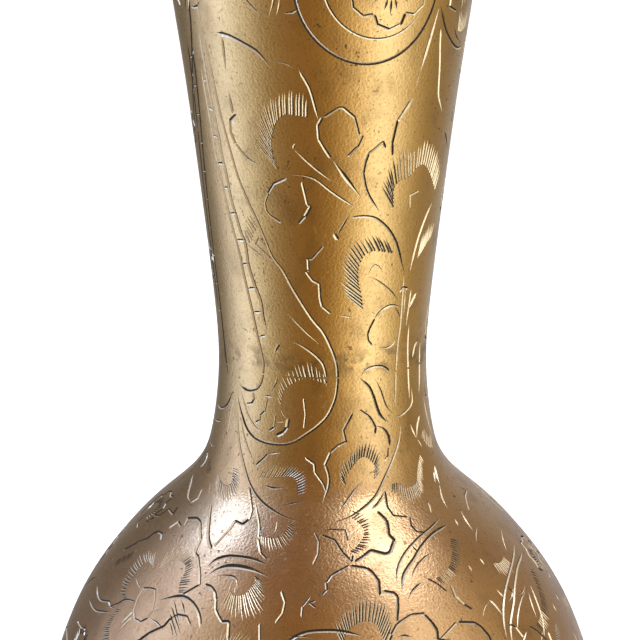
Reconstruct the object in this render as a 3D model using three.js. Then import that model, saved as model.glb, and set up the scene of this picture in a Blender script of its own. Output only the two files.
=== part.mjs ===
// A tall-necked engraved brass vase, as a brassworker makes it: a flared neck whose lip is rolled over a
// stiffening wire, a round body spun in two halves, and a cast foot ring. The turned pieces nest in stepped
// lap joints, and a thin film of braze metal fills each joint.
//
// Millimetres, +Z up. The origin is the centre of the foot's resting face, and every piece is turned about Z.
// Outlines are lists of (radius, height) points, run anticlockwise with the material on their left.
import * as THREE from "three";

// Driving dimensions
const HEIGHT = 203; // foot to lip
const WAIST_HEIGHT = 118.3;
const WAIST_RADIUS = 18.35; // outside, at the narrowest place, where neck and body join
const BELLY_HEIGHT = 48;
const BELLY_RADIUS = 50.5; // outside, at the widest place, where the two halves of the body join
const BOWL_DEPTH = 44; // from the belly down to the lowest point of the bowl
const WALL = 1.2;
const LIP_WIRE_RADIUS = 0.9;
const LIP_RADIUS = 30.2; // middle of the sheet, where it starts to roll
const BRAZE = 0.3; // thickness of the braze film in a joint
const LAP_WALL = 0.6; // outer sheet left over a lap joint
const COLLAR_WALL = 0.75; // upstanding collar inside a lap joint
const COLLAR_HEIGHT = 6;
const FOOT_HEIGHT = 8.6; // of the outside, up to the bowl
const FOOT_RADIUS = 29; // outside, at the resting face
const FOOT_REST_WIDTH = 3.8; // width of the resting face
const SEAT_INNER_RADIUS = 21.6; // the bowl sits on the foot between these two radii
const SEAT_OUTER_RADIUS = 25.2;
const TURN_STEPS = 36; // facets round the axis

// Outside of the neck and of the shoulder, as [height above the waist, radius].
const NECK_STATIONS = [
  [0, WAIST_RADIUS],
  [9, 18.85],
  [18, 19.8],
  [35, 21.85],
  [53, 24.25],
  [67, 26.4],
  [76, 28.3],
];
const SHOULDER_STATIONS = [
  [0, WAIST_RADIUS],
  [-7, 18.75],
  [-13, 19.65],
  [-17.6, 21.15],
  [-21.3, 23.9],
  [-26.3, 29.6],
  [-33, 36.05],
  [-41.5, 42.2],
  [-51.5, 46.8],
  [-61, 49.55],
  [BELLY_HEIGHT - WAIST_HEIGHT, BELLY_RADIUS],
];

const SHEET_BRASS = { color: 0xa9803f, roughness: 0.34, metalness: 1 };
const SPUN_BRASS = { color: 0xa07745, roughness: 0.36, metalness: 1 };
const CAST_BRASS = { color: 0x9a7036, roughness: 0.42, metalness: 1 };
const WIRE_BRASS = { color: 0xb08a4a, roughness: 0.45, metalness: 1 };
const BRAZE_METAL = { color: 0xb79a5e, roughness: 0.5, metalness: 1 };

const vase = new THREE.Group();
const point = (radius, height) => new THREE.Vector2(radius, height);

// A turned piece: an outline swept round the vase's axis. It starts and ends on the axis, or is closed here.
function turned(name, outline, finish) {
  const onAxis = outline[0].x === 0;
  const geometry = new THREE.LatheGeometry(onAxis ? outline : [...outline, outline[0]], TURN_STEPS);
  geometry.rotateX(Math.PI / 2);
  const mesh = new THREE.Mesh(geometry, new THREE.MeshStandardMaterial(finish));
  mesh.name = name;
  vase.add(mesh);
}

// The line that runs at a constant distance to the left of a line of points.
function leftOf(line, distance) {
  return line.map((p, i) => {
    const before = line[Math.max(i - 1, 0)];
    const after = line[Math.min(i + 1, line.length - 1)];
    const along = after.clone().sub(before).normalize();
    return point(p.x - along.y * distance, p.y + along.x * distance);
  });
}

function arc(centre, radius, from, to, steps) {
  return Array.from({ length: steps + 1 }, (_, i) => {
    const angle = from + ((to - from) * i) / steps;
    return point(centre.x + radius * Math.cos(angle), centre.y + radius * Math.sin(angle));
  });
}

// A smooth line through stations measured from the waist.
function throughStations(stations, steps) {
  const points = stations.map(([rise, radius]) => point(radius, WAIST_HEIGHT + rise));
  return new THREE.SplineCurve(points).getPoints(steps);
}

// A stepped lap joint at one height and outside radius. The upper sheet is bored out and drops over a collar
// that stands up from the lower sheet, and braze metal fills the step.
function lapJoint(height, outerRadius) {
  const bore = outerRadius - LAP_WALL;
  const collar = bore - BRAZE;
  const ledge = height - BRAZE / 2;
  const skirt = height + BRAZE / 2;
  return {
    skirt,
    ledge,
    boredEnd: [point(bore, skirt + COLLAR_HEIGHT), point(bore, skirt)],
    collar: [
      point(collar, ledge),
      point(collar, ledge + COLLAR_HEIGHT),
      point(collar - COLLAR_WALL, ledge + COLLAR_HEIGHT),
      point(collar - COLLAR_WALL, ledge),
    ],
    film: [
      point(collar, ledge),
      point(outerRadius, ledge),
      point(outerRadius, skirt),
      point(bore, skirt),
      point(bore, skirt + COLLAR_HEIGHT),
      point(collar, skirt + COLLAR_HEIGHT),
    ],
  };
}

const neckJoint = lapJoint(WAIST_HEIGHT, WAIST_RADIUS);
const bellyJoint = lapJoint(BELLY_HEIGHT, BELLY_RADIUS);

// Neck: a trumpet whose sheet turns outwards at the mouth and rolls down round the lip wire.
function neck() {
  const gapRadius = LIP_WIRE_RADIUS + BRAZE / 2;
  const rollCentre = point(LIP_RADIUS + gapRadius + WALL / 2, HEIGHT - gapRadius - WALL);
  const flare = throughStations([...NECK_STATIONS, [rollCentre.y - WAIST_HEIGHT, LIP_RADIUS + WALL / 2]], 12);
  const flareAboveJoint = flare.filter((p) => p.y > neckJoint.skirt + 1);
  const insideFlare = leftOf(flare, WALL).filter((p) => p.y > neckJoint.skirt + COLLAR_HEIGHT + 1);
  const rollEnd = -Math.PI / 2;
  turned(
    "neck",
    [
      neckJoint.boredEnd[1],
      point(WAIST_RADIUS, neckJoint.skirt),
      ...flareAboveJoint.slice(0, -1),
      ...arc(rollCentre, gapRadius, Math.PI, rollEnd, 9),
      ...arc(rollCentre, gapRadius + WALL, rollEnd, Math.PI, 9),
      ...insideFlare.slice(0, -1).reverse(),
      neckJoint.boredEnd[0],
    ],
    SHEET_BRASS,
  );
  turned("lip_wire", arc(rollCentre, LIP_WIRE_RADIUS, 0, 2 * Math.PI, 8).slice(0, -1), WIRE_BRASS);
}

// Upper body: a collar that stands up inside the neck, then the shoulder, down to the belly joint.
function upperBody() {
  const shoulder = throughStations(SHOULDER_STATIONS, 20).filter((p) => p.y > bellyJoint.skirt + 1);
  const outside = [
    ...shoulder.filter((p) => p.y < neckJoint.ledge - 1).reverse(),
    point(WAIST_RADIUS, neckJoint.ledge),
  ];
  const inside = leftOf(shoulder, -WALL).filter(
    (p) => p.y < neckJoint.ledge - 2 && p.y > bellyJoint.skirt + COLLAR_HEIGHT + 1,
  );
  turned(
    "upper_body",
    [
      bellyJoint.boredEnd[1],
      point(BELLY_RADIUS, bellyJoint.skirt),
      ...outside,
      ...neckJoint.collar,
      ...inside,
      bellyJoint.boredEnd[0],
    ],
    SPUN_BRASS,
  );
}

// The bowl's outside is part of an ellipse, and its height follows from the radius.
function bowlPoint(radius) {
  const share = Math.sqrt(1 - (radius / BELLY_RADIUS) ** 2);
  return point(radius, BELLY_HEIGHT - BOWL_DEPTH * share);
}

const seat = [0, 1 / 3, 2 / 3, 1].map((t) =>
  bowlPoint(THREE.MathUtils.lerp(SEAT_INNER_RADIUS, SEAT_OUTER_RADIUS, t)),
);
const footTop = leftOf(seat, -BRAZE);

// Lower body: a bowl with a collar that stands up inside the upper body.
function lowerBody() {
  const floor = [0, 8, 15].map(bowlPoint);
  const sides = [30, 35, 39.5, 43, 46, 48.2, 49.6, 50.3].map(bowlPoint);
  const outside = [...floor, ...seat, ...sides];
  const inside = leftOf(outside, WALL).reverse();
  inside[inside.length - 1] = point(0, BELLY_HEIGHT - BOWL_DEPTH + WALL);
  const rim = [point(BELLY_RADIUS, bellyJoint.ledge), ...bellyJoint.collar];
  turned("lower_body", [...outside, ...rim, ...inside], SPUN_BRASS);
}

// Foot: a cast ring with a moulded outside, whose top follows the bowl.
function foot() {
  const moulding = [
    [FOOT_RADIUS, 0],
    [FOOT_RADIUS, 1.7],
    [FOOT_RADIUS - 0.5, 2.3],
    [FOOT_RADIUS - 1.5, 2.7],
    [FOOT_RADIUS - 2.5, 3.9],
    [FOOT_RADIUS - 3.1, 5.6],
    [FOOT_RADIUS - 3.3, 7.2],
    [FOOT_RADIUS - 3.1, FOOT_HEIGHT],
  ].map(([radius, height]) => point(radius, height));
  turned(
    "foot_ring",
    [point(FOOT_RADIUS - FOOT_REST_WIDTH, 0), ...moulding, ...footTop.slice().reverse(), point(23, 4.2)],
    CAST_BRASS,
  );
}

function brazeFilms() {
  turned("neck_braze", neckJoint.film, BRAZE_METAL);
  turned("belly_braze", bellyJoint.film, BRAZE_METAL);
  turned("foot_braze", [...footTop, ...seat.slice().reverse()], BRAZE_METAL);
}

neck();
upperBody();
lowerBody();
foot();
brazeFilms();

export default vase;
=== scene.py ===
"""Looks of a tall-necked brass vase whose outside is engraved all over with leaves, tendrils and flowers.

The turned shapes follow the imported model. Every engraved stroke is a real V-shaped groove: the strokes are
laid out on the developed surface, triangulated together with it, and pushed in along its normal.

Shapes are worked out in millimetres and turned into metres when a mesh is made. A place on the vase is given
as (degrees, millimetres): degrees round the axis from the front, positive to the right, and millimetres along
the outside, positive upwards from the waist.
"""
import math
import random

import bpy
import numpy as np
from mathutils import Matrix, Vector
from mathutils.geometry import delaunay_2d_cdt


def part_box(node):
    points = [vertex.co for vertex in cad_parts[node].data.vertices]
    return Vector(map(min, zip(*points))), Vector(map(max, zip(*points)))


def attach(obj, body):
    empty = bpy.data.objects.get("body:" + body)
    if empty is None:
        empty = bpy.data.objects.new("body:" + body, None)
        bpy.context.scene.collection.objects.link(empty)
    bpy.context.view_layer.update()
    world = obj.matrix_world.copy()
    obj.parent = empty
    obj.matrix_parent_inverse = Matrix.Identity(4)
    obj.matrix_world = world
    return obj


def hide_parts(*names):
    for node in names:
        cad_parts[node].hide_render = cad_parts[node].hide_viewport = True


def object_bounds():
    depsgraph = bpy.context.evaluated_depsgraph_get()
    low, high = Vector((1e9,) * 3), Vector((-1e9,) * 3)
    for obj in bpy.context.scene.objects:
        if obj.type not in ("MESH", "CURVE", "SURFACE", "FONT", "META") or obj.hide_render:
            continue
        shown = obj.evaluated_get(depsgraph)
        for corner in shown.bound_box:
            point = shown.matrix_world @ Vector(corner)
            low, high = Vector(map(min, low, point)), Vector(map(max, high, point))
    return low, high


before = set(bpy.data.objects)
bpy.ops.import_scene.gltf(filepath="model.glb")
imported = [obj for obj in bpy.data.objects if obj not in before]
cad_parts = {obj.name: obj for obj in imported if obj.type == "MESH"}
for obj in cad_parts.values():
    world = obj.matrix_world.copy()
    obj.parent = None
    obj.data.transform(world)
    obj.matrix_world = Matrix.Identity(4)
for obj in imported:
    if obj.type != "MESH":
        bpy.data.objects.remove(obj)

CAD_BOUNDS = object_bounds()
MM = 0.001

# ------------------------------------------------------------------ sizes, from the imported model
BRAZE = 0.3  # thickness of the braze film in a joint
WALL = 1.2
LAP_WALL = 0.6
COLLAR_WALL = 0.75
COLLAR_HEIGHT = 6
LIP_WIRE_RADIUS = 0.9
FOOT_REST_WIDTH = 3.8


def lowest(node):
    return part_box(node)[0].z / MM


def widest(node):
    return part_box(node)[1].x / MM


HEIGHT = CAD_BOUNDS[1][2] / MM
WAIST_HEIGHT = lowest("neck") - BRAZE / 2
WAIST_RADIUS = widest("neck_braze")
BELLY_HEIGHT = lowest("upper_body") - BRAZE / 2
BELLY_RADIUS = widest("upper_body")
BOWL_DEPTH = BELLY_HEIGHT - lowest("lower_body")
FOOT_RADIUS = widest("foot_ring")
LIP_ROLL_RADIUS = LIP_WIRE_RADIUS + BRAZE / 2
LIP_CENTRE = (widest("neck") - LIP_ROLL_RADIUS - WALL, HEIGHT - LIP_ROLL_RADIUS - WALL)
SEAT_INNER_RADIUS = 21.6  # the bowl sits on the foot between these two radii
SEAT_OUTER_RADIUS = 25.2
SEAT_DROP = 0.28  # how far the foot's top lies below the bowl
FOOT_INSIDE = (23, 4.2)  # (radius, height) of the corner inside the foot
LIP_SLOPE = 0.3  # radius gained with height where the flare meets the lip

# Outside of the foot, as (radius against the foot's own, height).
FOOT_STATIONS = [(0, 0), (0, 1.7), (-0.5, 2.3), (-1.5, 2.7), (-2.5, 3.9), (-3.1, 5.6), (-3.3, 7.2),
                 (-3.1, 8.6)]
# Outside of the neck and of the shoulder, as (height above the waist, radius).
NECK_STATIONS = [(0, WAIST_RADIUS), (9, 18.85), (18, 19.8), (35, 21.85), (53, 24.25), (67, 26.4), (76, 28.3),
                 (LIP_CENTRE[1] - WAIST_HEIGHT, LIP_CENTRE[0] - LIP_ROLL_RADIUS)]
SHOULDER_STATIONS = [(0, WAIST_RADIUS), (-7, 18.75), (-13, 19.65), (-17.6, 21.15), (-21.3, 23.9),
                     (-26.3, 29.6), (-33, 36.05), (-41.5, 42.2), (-51.5, 46.8), (-61, 49.55),
                     (BELLY_HEIGHT - WAIST_HEIGHT, BELLY_RADIUS)]


# ------------------------------------------------------------------ the outside line of the vase
def smooth_radii(stations, rises, end_slope):
    """Radius at each rise: a cubic spline through the stations that starts upright and ends at end_slope."""
    x, y = np.array(stations, float).T
    step = np.diff(x)
    slope = np.diff(y) / step
    count = len(x)
    system = np.zeros((count, count))
    wanted = np.zeros(count)
    system[0, :2] = 2 * step[0], step[0]
    wanted[0] = 6 * slope[0]
    system[-1, -2:] = step[-1], 2 * step[-1]
    wanted[-1] = 6 * (end_slope - slope[-1])
    for i in range(1, count - 1):
        system[i, i - 1:i + 2] = step[i - 1], 2 * (step[i - 1] + step[i]), step[i]
        wanted[i] = 6 * (slope[i] - slope[i - 1])
    bend = np.linalg.solve(system, wanted)
    order = 1 if step[0] > 0 else -1
    k = np.clip(np.searchsorted(order * x, order * rises, side="right") - 1, 0, count - 2)
    h, a, b = step[k], x[k + 1] - rises, rises - x[k]
    curve = (bend[k] * a ** 3 + bend[k + 1] * b ** 3) / (6 * h)
    return curve + (y[k] / h - bend[k] * h / 6) * a + (y[k + 1] / h - bend[k + 1] * h / 6) * b


class Outside:
    """The vase's outside, from under the lip down to the foot, as a table by distance from the waist."""

    def __init__(self):
        neck_rise = np.arange(NECK_STATIONS[-1][0], 0, -0.1)
        shoulder_rise = np.linspace(0, SHOULDER_STATIONS[-1][0], 700)
        turn = np.linspace(0, math.acos(SEAT_OUTER_RADIUS / BELLY_RADIUS), 500)[1:]
        radius = np.concatenate([smooth_radii(NECK_STATIONS, neck_rise, LIP_SLOPE),
                                 smooth_radii(SHOULDER_STATIONS, shoulder_rise, 0.0),
                                 BELLY_RADIUS * np.cos(turn)])
        height = np.concatenate([WAIST_HEIGHT + neck_rise, WAIST_HEIGHT + shoulder_rise,
                                 BELLY_HEIGHT - BOWL_DEPTH * np.sin(turn)])
        radius, height = radius[::-1], height[::-1]
        along = np.concatenate([[0], np.cumsum(np.hypot(np.diff(radius), np.diff(height)))])
        self.along = along - np.interp(WAIST_HEIGHT, height, along)
        self.radius, self.height = radius, height
        lean = np.gradient(radius, self.along)
        rise = np.gradient(height, self.along)
        self.normal = np.stack([rise, -lean]) / np.hypot(rise, lean)
        middle = (1 / radius[1:] + 1 / radius[:-1]) / 2
        climb = np.concatenate([[0], np.cumsum(np.diff(along) * middle)])
        self.climb = climb - np.interp(0, self.along, climb)

    def at_height(self, height):
        return float(np.interp(height, self.height, self.along))

    def radius_at(self, along):
        return np.interp(along, self.along, self.radius)

    def flat(self, places):
        """Places (degrees, mm) on the developed surface, whose unit is the local radius."""
        places = np.asarray(places, float).reshape(-1, 2)
        return np.column_stack([np.radians(places[:, 0]), np.interp(places[:, 1], self.along, self.climb)])

    def wrap(self, flat, depth):
        """Points in space and unit normals for points on the developed surface, pushed in by depth mm."""
        angle = flat[:, 0]
        along = np.interp(flat[:, 1], self.climb, self.along)
        out = np.interp(along, self.along, self.normal[0])
        up = np.interp(along, self.along, self.normal[1])
        radius = np.interp(along, self.along, self.radius) - depth * out
        height = np.interp(along, self.along, self.height) - depth * up
        points = np.column_stack([radius * np.sin(angle), -radius * np.cos(angle), height])
        normals = np.column_stack([out * np.sin(angle), -out * np.cos(angle), up])
        return points, normals / np.linalg.norm(normals, axis=1, keepdims=True)

    def inner_line(self, low, high, step):
        """(radius, height) points one wall thickness inside, from high to low."""
        along = np.arange(self.at_height(high), self.at_height(low), -step)
        out, up = (np.interp(along, self.along, part) for part in self.normal)
        radius = self.radius_at(along) - WALL * out
        height = np.interp(along, self.along, self.height) - WALL * up
        return [(r, h) for r, h in zip(radius, height) if low < h < high]


outside = Outside()


# ------------------------------------------------------------------ the engraver's strokes
random.seed(7)
# Each stroke is (points on the developed surface, half width at each point in mm, depth over half width, and
# +1 or -1 where the bottom lies to the left or to the right of the stroke's middle).
strokes = []
GROOVE_SLOPE = 0.75  # depth over half width of a fine stroke
DEEPEST = 0.24  # of any stroke, in mm
LEAN = 0.16  # the graver is held aslant: the bottom's distance from the middle, as a share of the half width
LEAN_WAY = (0.55, 0.83)  # and towards what side, right and up
FLANKS = (-62, 35)  # left and right of these angles it leans to the left instead
HATCH_FILL = 0.62  # widest stroke of a hatched band, as a share of the distance between strokes
END_SLOPE = 1.6  # of a blunt end, against the groove's own
JOINT_REACH = 0.03  # how far past its ends a segment counts, in mm, where the line bends


def length_mm(flat):
    """Distance from the first point to each point of a line on the developed surface, in mm."""
    along = np.interp(flat[:, 1], outside.climb, outside.along)
    radius = outside.radius_at(along)
    step = np.hypot(*np.diff(flat, axis=0).T) * (radius[1:] + radius[:-1]) / 2
    return np.concatenate([[0], np.cumsum(step)])


def resample(flat, step):
    """The same line with a point about every step mm, and the distance to each point."""
    distance = length_mm(flat)
    count = max(2, int(math.ceil(distance[-1] / step)) + 1)
    places = np.linspace(0, distance[-1], count)
    return np.column_stack([np.interp(places, distance, flat[:, k]) for k in (0, 1)]), places


def curved(flat):
    """A smooth line through the points of a coarse one."""
    if len(flat) < 3:
        return flat
    padded = np.vstack([2 * flat[0] - flat[1], flat, 2 * flat[-1] - flat[-2]])
    t = np.linspace(0, 1, 9)[:-1, None]
    pieces = []
    for a, b, c, d in zip(padded, padded[1:], padded[2:], padded[3:]):
        pieces.append(b + t * (c - a) / 2 + t ** 2 * (a - 2.5 * b + 2 * c - d / 2)
                      + t ** 3 * (1.5 * b - a / 2 - 1.5 * c + d / 2))
    return np.vstack(pieces + [flat[-1:]])


def stroke(flat, width, head, tail, step=0.9):
    """One pass of the graver. It widens over head mm and narrows over tail mm; 0 makes that end blunt."""
    line, distance = resample(flat, step)
    total = distance[-1]
    swollen = min(head, total / 2), total - min(tail, total / 2)
    corners = {0.0, total, *(d for d in swollen if 0 < d < total)}
    places = np.array(sorted({*(round(float(d), 4) for d in distance[1:-1]), *corners}))
    line = np.column_stack([np.interp(places, distance, line[:, k]) for k in (0, 1)])
    share = np.ones(len(places))
    if head:
        share = np.minimum(share, places / min(head, total / 2))
    if tail:
        share = np.minimum(share, (total - places) / min(tail, total / 2))
    half = np.clip(share, 0, 1) * width / 2 * random.uniform(0.88, 1.12)
    way = np.diff(line, axis=0).sum(axis=0)
    on_front = FLANKS[0] < math.degrees(line[:, 0].mean()) < FLANKS[1]
    right = LEAN_WAY[0] if on_front else -LEAN_WAY[0]
    side = 1 if -way[1] * right + way[0] * LEAN_WAY[1] > 0 else -1
    strokes.append((line, half, min(GROOVE_SLOPE, DEEPEST / (width / 2)), side))


def cut(*places, width=0.44, head=2.5, tail=2.5):
    """A smooth line that swells and fades."""
    stroke(curved(outside.flat(places)), width, head, tail)


def bars(*places, width=0.5):
    """An outline of short straight gouge marks, one between each two places."""
    flat = outside.flat(places)
    for start, end in zip(flat, flat[1:]):
        over = (end - start) * random.uniform(0.18, 0.3) / max(length_mm(np.array([start, end]))[-1], 0.3)
        stroke(np.array([start - over, end + over]), width * random.uniform(0.9, 1.1), 0.35, 0.3, step=3)


def hatch(inner, outer, count, width=0.36):
    """A band of short strokes that start fine on the outer line and end blunt on the inner one."""
    inner, outer = curved(outside.flat(inner)), curved(outside.flat(outer))
    pitch = (length_mm(inner)[-1] + length_mm(outer)[-1]) / 2 / count
    width = min(width, HATCH_FILL * pitch)
    for share in np.linspace(0, 1, count):
        share = np.clip(share + random.uniform(-0.2, 0.2) / count, 0, 1)
        ends = []
        for line in (outer, inner):
            distance = length_mm(line)
            ends.append([np.interp(share * distance[-1], distance, line[:, k]) for k in (0, 1)])
        start, end = np.array(ends)
        start = start + (start - end) * random.uniform(-0.12, 0.12)
        stroke(np.array([start, end]), width * random.uniform(0.85, 1.15), 1.6, 0.0, step=1.6)


def ring_line(along, width=0.45):
    """A turned line all the way round."""
    flat = outside.flat([(-184, along), (184, along)])
    stroke(flat, width, 0.0, 0.0, step=2.4)


# ------------------------------------------------------------------ groove depth over the developed surface
def groove_depth(flat, cuts):
    """Depth in mm at each point, where in its groove it lies (0 at the edge, 1 at the bottom), and whether
    that is on the steep wall or on a blunt end."""
    order = np.argsort(flat[:, 0])
    x, y = flat[order].T
    scale = outside.radius_at(np.interp(y, outside.climb, outside.along))
    depth = np.zeros(len(flat))
    place = np.zeros(len(flat))
    wall = np.zeros(len(flat), bool)
    for line, half, steep, side in cuts:
        last = len(line) - 2
        for i, (a, b) in enumerate(zip(line, line[1:])):
            near = points_near(x, y, a, b, half.max())
            t, off, distance = across_segment(x[near], y[near], a, b, scale[near])
            beside = (t * distance > -JOINT_REACH) & (t * distance < distance + JOINT_REACH)
            if not beside.any():
                continue
            near, t, off, distance = near[beside], t[beside], off[beside], distance[beside]
            width = half[i] + (half[i + 1] - half[i]) * t
            facet = (width + side * off) / (1 + LEAN)
            share = np.minimum(facet, (width - side * off) / (1 - LEAN))
            if i == 0 and half[0] > 0:
                share = np.minimum(share, END_SLOPE * t * distance)
            if i == last and half[-1] > 0:
                share = np.minimum(share, END_SLOPE * (1 - t) * distance)
            deeper = steep * share > depth[near]
            depth[near[deeper]] = (steep * share)[deeper]
            place[near[deeper]] = (share / np.maximum(width, 1e-6))[deeper]
            wall[near[deeper]] = (share < facet - 1e-9)[deeper]
    unsorted = np.empty_like(order)
    unsorted[order] = np.arange(len(order))
    return depth[unsorted], place[unsorted], wall[unsorted]


def points_near(x, y, a, b, reach_mm):
    """Numbers of the points in a box round a segment. x is sorted."""
    middle = np.interp((a[1] + b[1]) / 2, outside.climb, outside.radius)
    reach = reach_mm / middle * 1.3
    low, high = np.searchsorted(x, [min(a[0], b[0]) - reach, max(a[0], b[0]) + reach])
    level = y[low:high]
    return low + np.flatnonzero((level > min(a[1], b[1]) - reach) & (level < max(a[1], b[1]) + reach))


def across_segment(x, y, a, b, scale):
    """How far along a segment each point lies (0 to 1 within it), its distance to the left in mm, and the
    segment's length in mm."""
    along = b - a
    size = math.hypot(*along)
    dx, dy = x - a[0], y - a[1]
    t = (dx * along[0] + dy * along[1]) / size ** 2
    return t, (along[0] * dy - along[1] * dx) / size * scale, size * scale


def near_a_stroke(flat, cuts, gap):
    """True for the points within gap mm of a stroke's edge."""
    order = np.argsort(flat[:, 0])
    x, y = flat[order].T
    scale = outside.radius_at(np.interp(y, outside.climb, outside.along))
    found = np.zeros(len(flat), bool)
    for line, half, _, _ in cuts:
        for i, (a, b) in enumerate(zip(line, line[1:])):
            near = points_near(x, y, a, b, half.max() + gap)
            t, off, distance = across_segment(x[near], y[near], a, b, scale[near])
            beside = (t * distance > -gap) & (t * distance < distance + gap)
            found[near[beside & (np.abs(off) < max(half[i], half[i + 1]) + gap)]] = True
    unsorted = np.empty_like(order)
    unsorted[order] = np.arange(len(order))
    return found[unsorted]


def groove_lines(line, half, side):
    """The two edges and the bottom of a stroke, as chains of points, with its blunt ends closed."""
    radius = np.interp(line[:, 1], outside.climb, outside.radius)
    way = np.gradient(line, axis=0)
    way /= np.linalg.norm(way, axis=1, keepdims=True)
    left = np.column_stack([-way[:, 1], way[:, 0]]) * (half / radius)[:, None]
    chains = [line + left, line + left * side * LEAN, line - left]
    for end in (0, -1):
        if half[end] > 0:
            inward = line[1 if end == 0 else -2] - line[end]
            size = math.hypot(*inward) * radius[end]
            bottom = line[end] + left[end] * side * LEAN + inward * min(0.45, half[end] / END_SLOPE / size)
            chains.append(np.array([chains[0][end], bottom, chains[2][end]]))
            chains.append(np.array([chains[0][end], chains[2][end]]))
    return chains


# ------------------------------------------------------------------ meshes made of rings and engraved sheets
TURN_STEPS = 160  # facets round a plain ring
SHEET_STEP = math.radians(2.6)  # between the points of an engraved sheet, where nothing is cut
CLEARANCE = 0.3  # between a stroke's edge and those points, in mm
SHALLOWEST = 0.004  # depth in mm under which a point counts as uncut
SHALLOWEST_FACET = 0.006  # and a triangle
SAME_PLACE = 1e-5  # how near two places on the developed surface are one
STRETCH_MARGIN = 0.03  # how far outside a stretch a stroke still counts, on the developed surface
SEAM_MARGIN = 0.05  # and how far past the back seam


class Skin:
    """A mesh in the making. Every corner of every triangle carries its own normal."""

    def __init__(self):
        self.points = []
        self.triangles = []
        self.normals = []
        self.groove = {}  # for each point in a groove: 0 at its edge, 1 at its bottom
        self.walls = []  # numbers of the triangles on the steep side of a groove

    def ring(self, radius, height):
        """A loop of (angle, point number); on the axis it is a single point."""
        start = len(self.points)
        if radius < 1e-6:
            self.points.append((0.0, 0.0, height))
            return [(0.0, start)]
        angles = [-math.pi + 2 * math.pi * i / TURN_STEPS for i in range(TURN_STEPS)]
        self.points.extend((radius * math.sin(a), -radius * math.cos(a), height) for a in angles)
        return [(a, start + i) for i, a in enumerate(angles)]

    def strip(self, low, high, low_normal, high_normal):
        """Triangles between two loops, with the outside on the right of the way from low to high."""
        def corner(pair, normal):
            angle = pair[0]
            return (normal[0] * math.sin(angle), -normal[0] * math.cos(angle), normal[1])

        i = j = 0
        rounds_low = len(low) if len(low) > 1 else 0
        rounds_high = len(high) if len(high) > 1 else 0
        while i < rounds_low or j < rounds_high:
            a, b = low[i % len(low)], high[j % len(high)]
            next_a, next_b = low[(i + 1) % len(low)], high[(j + 1) % len(high)]
            turn_a = next_a[0] + (2 * math.pi if i + 1 >= len(low) else 0)
            turn_b = next_b[0] + (2 * math.pi if j + 1 >= len(high) else 0)
            if j >= rounds_high or (i < rounds_low and turn_a <= turn_b):
                self.triangles.append((a[1], next_a[1], b[1]))
                ends = corner(a, low_normal), corner(next_a, low_normal), corner(next_a, high_normal)
                i += 1
            else:
                self.triangles.append((a[1], next_b[1], b[1]))
                ends = corner(next_b, low_normal), corner(next_b, high_normal), corner(b, high_normal)
                j += 1
            self.normals.append(ends)

    def turned(self, outline, first=None, last=None):
        """Rings through the points of an outline, smooth except at its corners. It is closed unless loops are
        given."""
        outline = [tuple(p) for p in outline]
        loops = [first or self.ring(*outline[0])]
        loops += [self.ring(*p) for p in outline[1:-1]]
        loops.append(last or self.ring(*outline[-1]))
        if first is None and last is None and outline[0][0] > 1e-6:
            outline.append(outline[0])
            loops.append(loops[0])
        ways = np.diff(np.array(outline), axis=0)
        ways /= np.linalg.norm(ways, axis=1, keepdims=True)
        sides = np.column_stack([ways[:, 1], -ways[:, 0]])
        for k in range(len(sides)):
            ends = []
            for other in (k - 1, k + 1):
                closed = loops[0] is loops[-1]
                known = 0 <= other < len(sides) or closed
                neighbour = sides[other % len(sides)] if known else sides[k]
                joined = sides[k] + neighbour if sides[k] @ neighbour > 0.8 else sides[k]
                ends.append(joined / np.linalg.norm(joined))
            self.strip(loops[k], loops[k + 1], *ends)

    def engraved(self, low, high):
        """The outside between two distances from the waist, with every stroke that crosses it cut in.
        Gives the loops along its lower and its upper edge."""
        flat, triangles = engraved_sheet(low, high)
        depth, place, _ = groove_depth(flat, cuts_between(low, high))
        shallow = depth < SHALLOWEST
        depth[shallow] = 0
        place[shallow] = 0
        join_seam(flat, triangles)
        used = np.unique(triangles)
        number = np.full(len(flat), -1)
        number[used] = np.arange(len(used)) + len(self.points)
        points, normals = outside.wrap(flat, depth)
        corners = normals[triangles]
        middle_depth, _, wall = groove_depth(middles(flat, triangles), cuts_between(low, high))
        cut_in = (middle_depth > SHALLOWEST_FACET) & (depth[triangles].max(axis=1) > 0)
        self.walls.extend((np.flatnonzero(cut_in & wall) + len(self.triangles)).tolist())
        a, b, c = (points[triangles[:, k]] for k in range(3))
        face = np.cross(b - a, c - a)
        face /= np.maximum(np.linalg.norm(face, axis=1, keepdims=True), 1e-12)
        corners[cut_in] = face[cut_in][:, None, :]
        self.groove.update(zip(number[used].tolist(), place[used].tolist()))
        self.points.extend(map(tuple, points[used]))
        self.triangles.extend(map(tuple, number[triangles]))
        self.normals.extend(map(tuple, corners))
        loops = []
        for edge in (low, high):
            level = outside.flat([(0, edge)])[0, 1]
            on_edge = used[np.abs(flat[used, 1] - level) < SAME_PLACE]
            on_edge = on_edge[np.argsort(flat[on_edge, 0])]
            loops.append([(float(flat[k, 0]), int(number[k])) for k in on_edge])
        return loops

    def piece(self, name, node, material):
        """The finished object, riding on the body and standing for its CAD node."""
        mesh = bpy.data.meshes.new(name)
        points = [Vector(p) * MM for p in self.points]
        mesh.from_pydata(points, [], [tuple(map(int, t)) for t in self.triangles])
        mesh.shade_smooth()
        mesh.normals_split_custom_set(np.array(self.normals, float).reshape(-1, 3).tolist())
        groove = mesh.attributes.new("groove", "FLOAT", "POINT")
        for index, place in self.groove.items():
            groove.data[index].value = place
        wall = mesh.attributes.new("wall", "FLOAT", "FACE")
        for index in self.walls:
            wall.data[index].value = 1.0
        mesh.materials.append(material)
        obj = bpy.data.objects.new(name, mesh)
        bpy.context.scene.collection.objects.link(obj)
        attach(obj, "root")
        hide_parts(node)
        return obj


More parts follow.
